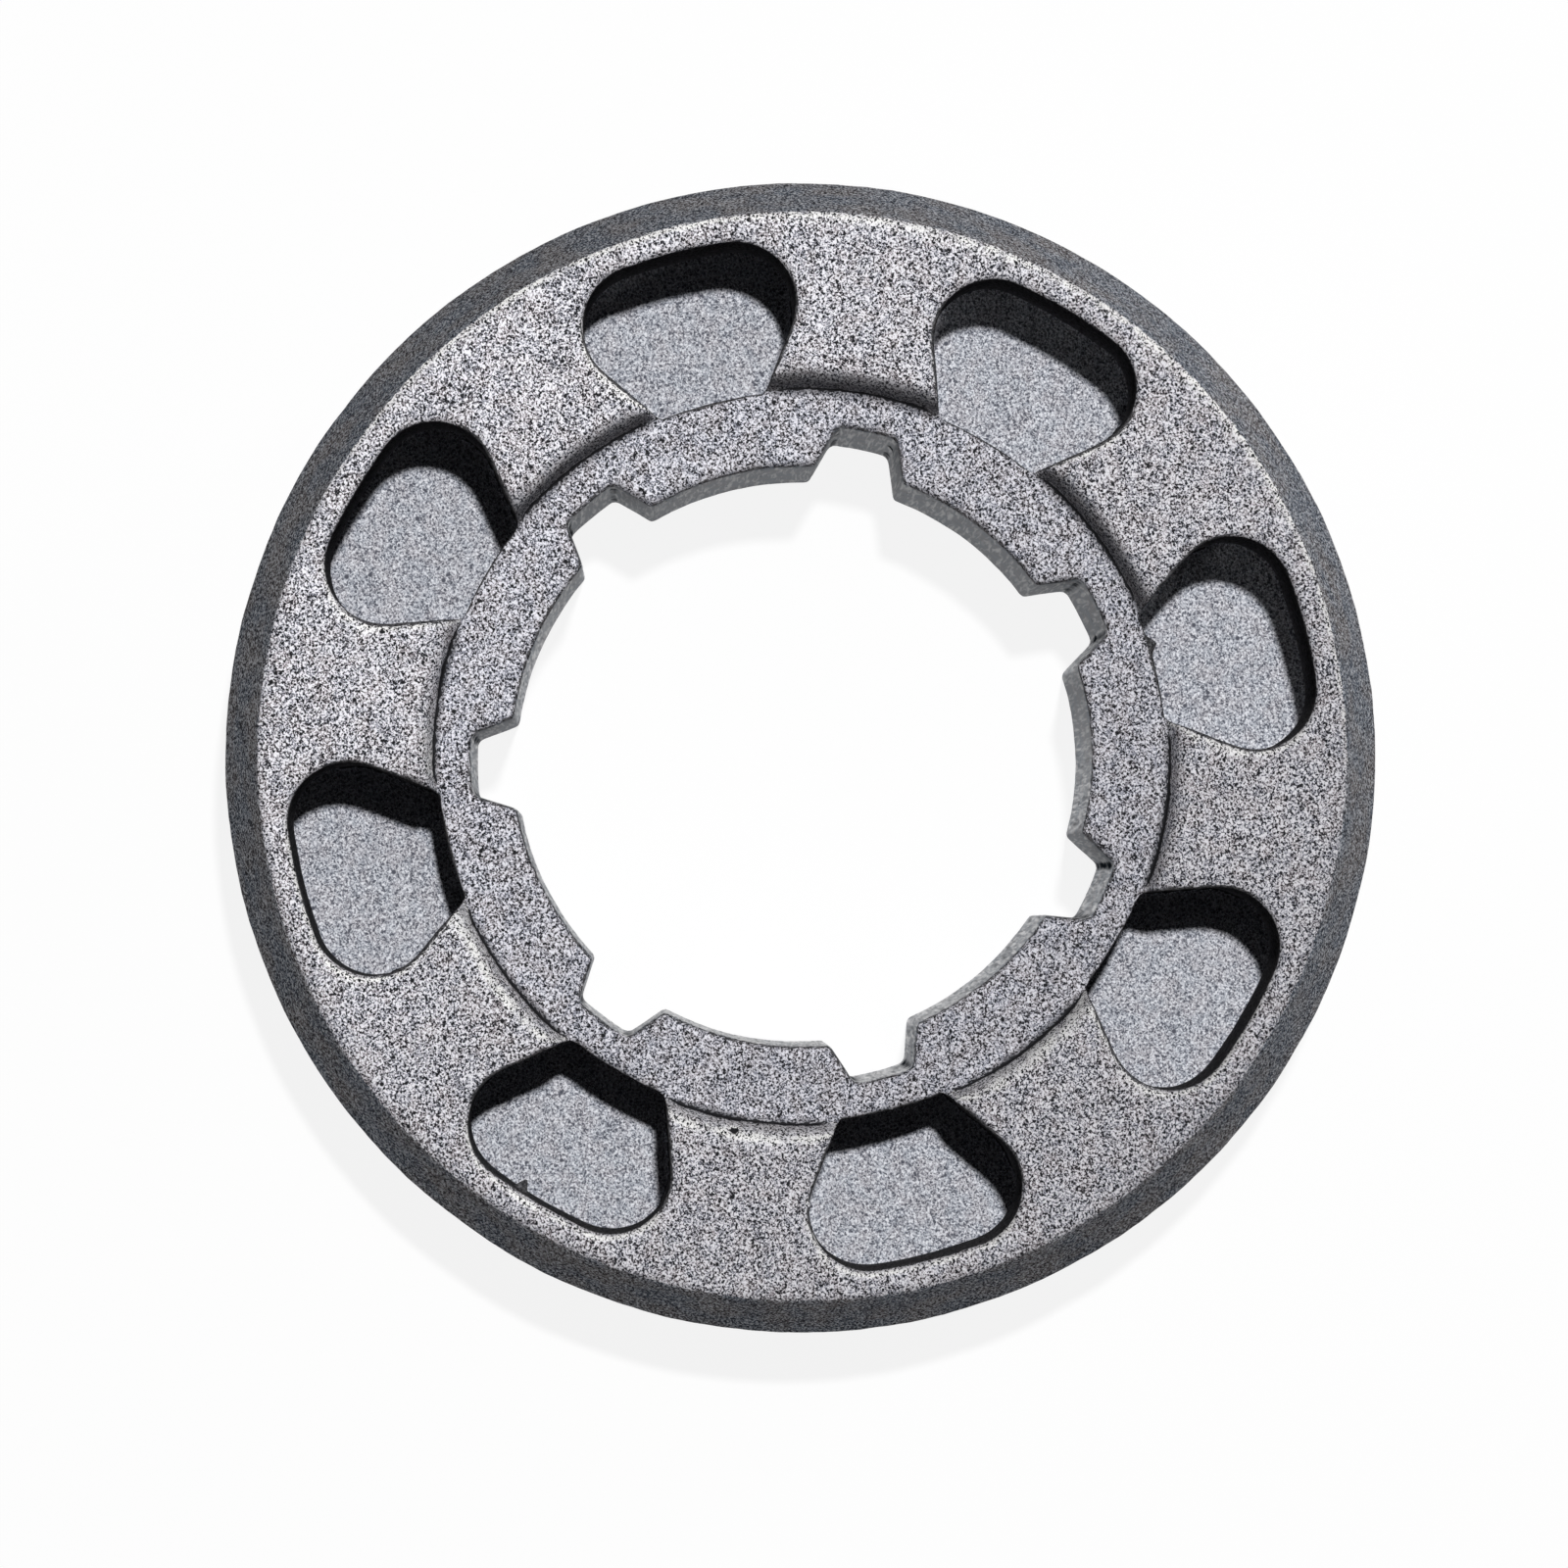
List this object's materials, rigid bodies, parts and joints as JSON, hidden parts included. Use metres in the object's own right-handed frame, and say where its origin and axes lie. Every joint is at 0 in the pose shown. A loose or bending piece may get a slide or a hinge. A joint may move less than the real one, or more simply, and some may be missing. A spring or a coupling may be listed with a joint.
{
  "type": "chainsaw rim sprocket",
  "caption": "Cast steel chainsaw rim sprocket: a flanged ring with a splined bore, windowed pockets for the chain's drive links and bevelled edges.",
  "frame": {"origin": "on the bore's axis, at the closed back face", "axes": "+Z along the bore's axis towards the windowed front face, +X through the middle of the window that has a spline groove in line with it"},
  "size_m": [0.0358, 0.0358, 0.012],
  "materials": {
    "cast_steel": "grey blasted casting, fine metallic grain"
  },
  "bodies": {
    "root": {"rim": "cast_steel"}
  },
  "joints": []
}
